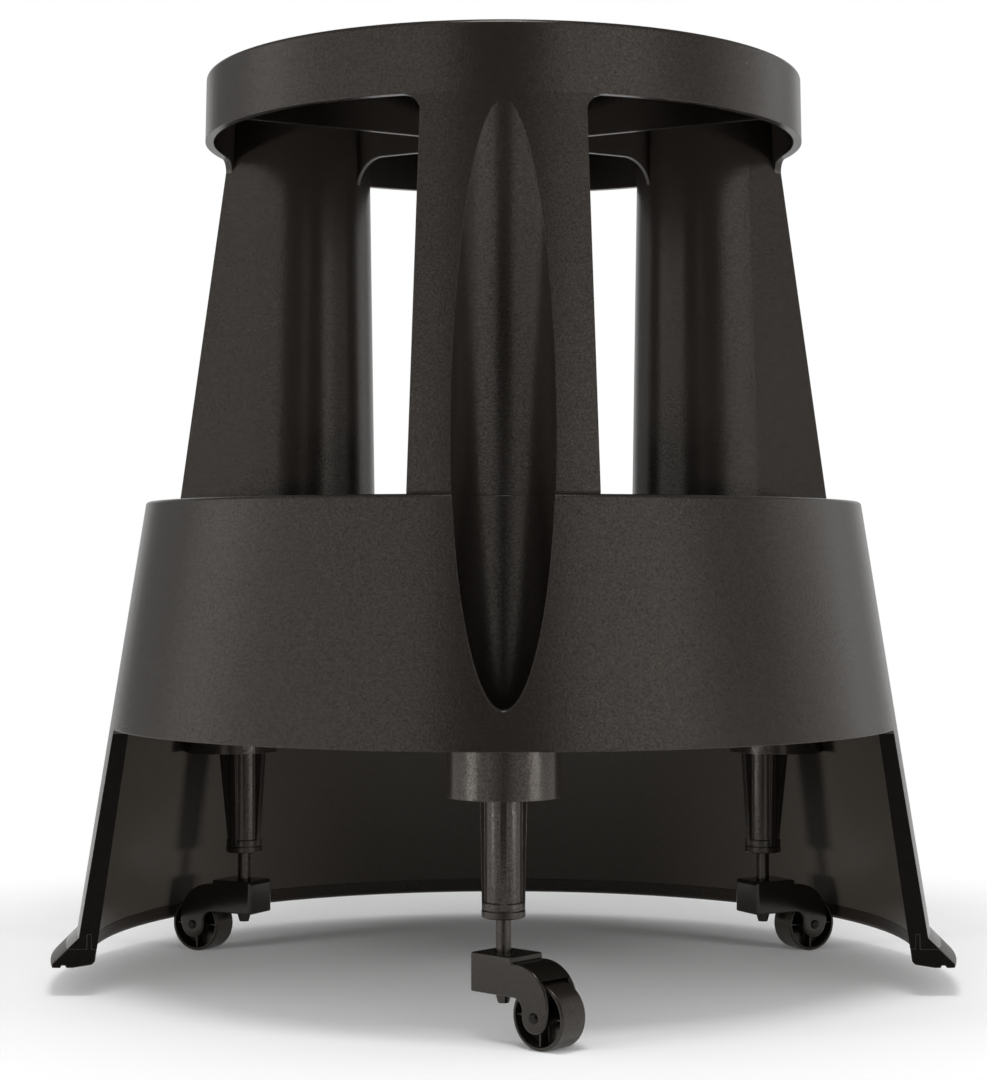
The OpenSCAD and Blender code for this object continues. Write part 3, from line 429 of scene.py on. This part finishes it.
# Foot ring.
# Thermoplastic rubber, moulded as a ring and pressed with its tongue into the skirt. It is
# a little darker and duller than the shell, and its edges are well rounded.
RING_EDGE = 0.0004

# Triangles this flat to each other, and this far from square, become one face, and an edge
# this sharp is rounded.
FLAT_DEG, SQUARE_DEG, SHARP_DEG = 0.5, 60, 24


def eased(node, body, width, material, sharp_deg=SHARP_DEG):
    """Stands in for a CAD node, with its sharp edges rounded."""
    mesh = nodes[node].data.copy()
    mesh.name = node + "_eased"
    bm = bmesh.new()
    bm.from_mesh(mesh)
    bmesh.ops.remove_doubles(bm, verts=bm.verts, dist=WELD)
    bmesh.ops.join_triangles(bm, faces=bm.faces, angle_face_threshold=math.radians(FLAT_DEG),
                             angle_shape_threshold=math.radians(SQUARE_DEG))
    sharp = [edge for edge in bm.edges
             if edge.calc_face_angle(0) > math.radians(sharp_deg)]
    bmesh.ops.bevel(bm, geom=sharp, offset=width, offset_type="OFFSET", segments=2,
                    profile=0.5, affect="EDGES", clamp_overlap=False, material=-1)
    for face in bm.faces:
        face.smooth = True
    bm.to_mesh(mesh)
    bm.free()
    mesh.materials.clear()
    mesh.materials.append(material)
    piece = bpy.data.objects.new(node + "_eased", mesh)
    scene.collection.objects.link(piece)
    piece.modifiers.new("flat faces stay flat", "WEIGHTED_NORMAL").mode = "FACE_AREA"
    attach(piece, body)
    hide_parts(node)
    return piece


foot_rubber = grained("thermoplastic rubber, moulded", "#181411", roughness=0.38,
                      grain_mm=0.9, depth_mm=0.06, edge_mm=0.3)
foot_ring = eased("foot_ring", "base", RING_EDGE, foot_rubber)
blacken_cut(foot_ring, sawn_plastic)

# Deck pads.
# Vulcanised rubber mats with round ridges, glued into recesses of the deck between the
# legs. Shoes have scuffed the ridges' tops a little paler than the grooves.
PAD_EDGE = 0.0003
SCUFF_DEPTH = 0.0002
SMEARS_PER_M, SMEAR_DETAIL = 60.0, 5.0
RUBBED_START, RUBBED_END = 0.45, 0.75
SCUFF_COLOUR = "#2a2622"


def ridged(name, top_z):
    """Black rubber that is scuffed grey where shoes reach it, at the ridges' tops."""
    material = grained(name, "#14110f", roughness=0.6, grain_mm=0.9, depth_mm=0.08,
                       edge_mm=0.2)
    tree = material.node_tree
    skin = tree.nodes["Principled BSDF"]
    place = add(tree, "ShaderNodeTexCoord").outputs["Object"]
    height = add(tree, "ShaderNodeSeparateXYZ", links={"Vector": place})
    top = add(tree, "ShaderNodeMath", {"operation": "GREATER_THAN", 1: top_z - SCUFF_DEPTH},
              {0: height.outputs["Z"]})
    smear = add(tree, "ShaderNodeTexNoise", {"Scale": SMEARS_PER_M, "Detail": SMEAR_DETAIL},
                {"Vector": place})
    rubbed = add(tree, "ShaderNodeMapRange",
                 {"From Min": RUBBED_START, "From Max": RUBBED_END},
                 {"Value": smear.outputs["Fac"]})
    worn = add(tree, "ShaderNodeMath", {"operation": "MULTIPLY"},
               {0: top.outputs[0], 1: rubbed.outputs[0]})
    black = skin.inputs["Base Color"].links[0].from_socket
    scuffed = add(tree, "ShaderNodeMixRGB", {"Color2": linear(SCUFF_COLOUR)},
                  {"Fac": worn.outputs[0], "Color1": black})
    tree.links.new(scuffed.outputs["Color"], skin.inputs["Base Color"])
    return material


pad_rubber = ridged("vulcanised rubber, deck pads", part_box("rear_pad")[1][2])
for pad in ("front_right_pad", "front_left_pad", "rear_pad"):
    eased(pad, "base", PAD_EDGE, pad_rubber)

# Guide bushes.
# Moulded acetal, pressed up into the foot of each housing's sleeve. The flange stays in
# view below the sleeve, smoother and a little glossier than the shell.
CASTORS = ("front", "right", "left")


def dress(node, material):
    """Gives a CAD node that stays in view its material."""
    mesh = nodes[node].data
    mesh.materials.clear()
    mesh.materials.append(material)


acetal = grained("acetal, moulded", "#15120f", roughness=0.26, grain_mm=0.7, depth_mm=0.02,
                 edge_mm=0.2, contrast=0.1)
for castor in CASTORS:
    dress(castor + "_bush", acetal)

# Castor stems.
# Free-cutting steel bar, turned, peened over below the fork and blacked. Fine rings from
# the tool run round it; they are drawn four times as coarse as on the lathe, to show.

# Handling has left patches of duller and glossier, darker and paler steel.
PATCHES_PER_M, PATCH_DETAIL, PATCH_GLOSS, PATCH_TONE = 250.0, 3.0, 0.06, 0.25


def steel(name, colour, roughness, mark_mm, depth_mm, squeeze=(1, 1, 1)):
    """Bare or blacked steel with marks of the tool, longest where the squeeze is least.

    The marks are drawn coarser than real ones, so that pictures show them.
    """
    material = bpy.data.materials.new(name)
    material.use_nodes = True
    tree = material.node_tree
    skin = tree.nodes["Principled BSDF"]
    place = add(tree, "ShaderNodeTexCoord").outputs["Object"]
    along = add(tree, "ShaderNodeVectorMath", {"operation": "MULTIPLY", 1: squeeze},
                {0: place})
    marks = add(tree, "ShaderNodeTexNoise", {"Scale": 1000 / mark_mm, "Detail": NOISE_DETAIL},
                {"Vector": along.outputs["Vector"]})
    bump = add(tree, "ShaderNodeBump", {"Distance": depth_mm / 1000},
               {"Height": marks.outputs["Fac"]})
    patches = add(tree, "ShaderNodeTexNoise",
                  {"Scale": PATCHES_PER_M, "Detail": PATCH_DETAIL},
                  {"Vector": place}).outputs["Fac"]
    dull = add(tree, "ShaderNodeMapRange",
               {"From Min": NOISE_LOW, "From Max": NOISE_HIGH,
                "To Min": roughness - PATCH_GLOSS, "To Max": roughness + PATCH_GLOSS},
               {"Value": patches})
    paint = linear(colour)
    tone = add(tree, "ShaderNodeMixRGB",
               {"Color1": [c * (1 - PATCH_TONE) for c in paint[:3]] + [1],
                "Color2": [c * (1 + PATCH_TONE) for c in paint[:3]] + [1]}, {"Fac": patches})
    skin.inputs["Metallic"].default_value = 1.0
    tree.links.new(tone.outputs["Color"], skin.inputs["Base Color"])
    tree.links.new(dull.outputs[0], skin.inputs["Roughness"])
    tree.links.new(bump.outputs["Normal"], skin.inputs["Normal"])
    return material


turned_steel = steel("steel bar, turned and blacked", "#4a4642", roughness=0.28, mark_mm=0.8,
                     depth_mm=0.01, squeeze=(0.05, 0.05, 1))
for castor in CASTORS:
    dress(castor + "_stem", turned_steel)

# Retaining rings.
# Open rings of phosphated spring steel that snap into the stems' grooves and hold the
# castors up in their sleeves. Punched from strip, so they are grey and rather dull.
punched_steel = steel("spring steel, phosphated", "#3c3b39", roughness=0.5, mark_mm=0.6,
                      depth_mm=0.01)
for castor in CASTORS:
    dress(castor + "_ring", punched_steel)

# Seat washers.
# Plain steel washers under the springs, tumbled bright after punching and lightly oiled.
washer_steel = steel("mild steel, tumbled", "#9a9894", roughness=0.3, mark_mm=1.2,
                     depth_mm=0.008)
for castor in CASTORS:
    dress(castor + "_washer", washer_steel)

# Springs.
# Oil-hardened wire, cold drawn and coiled, so its fine die marks run round the coil. Each
# stands under its chamber's roof.
joints = {joint["name"]: joint for joint in frame["record"]["behaviour"]["joints"]}
spring_wire = steel("spring wire, oil-hardened", "#5c5750", roughness=0.3, mark_mm=0.8,
                    depth_mm=0.01, squeeze=(0.1, 0.1, 1))

# A wire has no edge to round: with no rounding, and none sharper than this, its form stays.
WIRE_EDGE, NO_SHARP_DEG = 0, 180
for castor in CASTORS:
    low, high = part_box(castor + "_spring")
    spring = eased(castor + "_spring", "base", WIRE_EDGE, spring_wire,
                   sharp_deg=NO_SHARP_DEG)
    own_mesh(spring)

# Forks.
# Glass-filled nylon, moulded in a polished tool: smooth and a little glossy, with faint
# flow lines, and softly rounded along the edges of block, hood and cheeks.
FORK_EDGE = 0.0008
fork_nylon = grained("glass-filled nylon, moulded", "#0f0d0b", roughness=0.17, grain_mm=1.2,
                     depth_mm=0.015, edge_mm=0.15, contrast=0.12)
for castor in CASTORS:
    eased(castor + "_fork", castor + "_castor", FORK_EDGE, fork_nylon)

# Wheels.
# Nylon, moulded with hub, spokes and rim in one. The tread has been rolled dull and is
# covered in fine scratches, while the spokes inside have kept their moulded gloss.
WHEEL_EDGE, TREAD_R = 0.0003, 0.0139
wheel_nylon = grained("nylon, moulded", "#12100e", roughness=0.22, grain_mm=1.0,
                      depth_mm=0.015, edge_mm=0.1, contrast=0.12)
tread_nylon = grained("nylon, scuffed tread", "#161310", roughness=0.3, grain_mm=0.7,
                      depth_mm=0.03, edge_mm=0.1, contrast=0.3)
for castor in CASTORS:
    wheel = eased(castor + "_wheel", castor + "_rolling", WHEEL_EDGE,
                  wheel_nylon)
    wheel.data.materials.append(tread_nylon)
    low, high = (Vector(corner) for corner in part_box(castor + "_wheel"))
    middle = (low + high) / 2
    axle_line = Vector(joints[castor + "_roll"]["axis"])
    for face in wheel.data.polygons:
        if (face.center - middle).cross(axle_line).length > TREAD_R:
            face.material_index = 1

# Axles.
# Steel rivets, headed on the outside of each fork's cheek and blacked with the stems.
rivet_steel = steel("steel rivet, blacked", "#2f2c2a", roughness=0.35, mark_mm=0.8,
                    depth_mm=0.01)
for castor in CASTORS:
    dress(castor + "_axle", rivet_steel)

# Upper shell.
# Polypropylene from the same tool shop as the lower shell: rim, top plate and three
# fluted legs in one moulding, screwed on from below. Same grain, colour and gloss.
RIM_Z, RIM_R, TOP_R, TOP_EDGE_Z = 0.4065, 0.145, 0.1444, 0.4358
LEG_FOOT_R, LEG_TOP_R = 0.172, 0.14495
drawn("upper_shell", shell_plastic, [(DECK_Z, LEG_FOOT_R, RIM_Z, LEG_TOP_R, 0),
                                     (RIM_Z, RIM_R, TOP_EDGE_Z, TOP_R, 0)])

# Top mat.
# The same ridged rubber as the deck pads, cut round, with a flat middle. It lies in a
# recess of the top plate and stands a little proud of it.
MAT_EDGE = 0.0003
mat_rubber = ridged("vulcanised rubber, top mat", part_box("top_tread")[1][2])
eased("top_tread", "base", MAT_EDGE, mat_rubber)

# Screws.
# Zinc-plated screws, three up into each leg from under the deck, with recessed heads.
zinc = steel("steel, zinc-plated", "#a9a9ac", roughness=0.25, mark_mm=1.0, depth_mm=0.01)
dress("shell_screws", zinc)
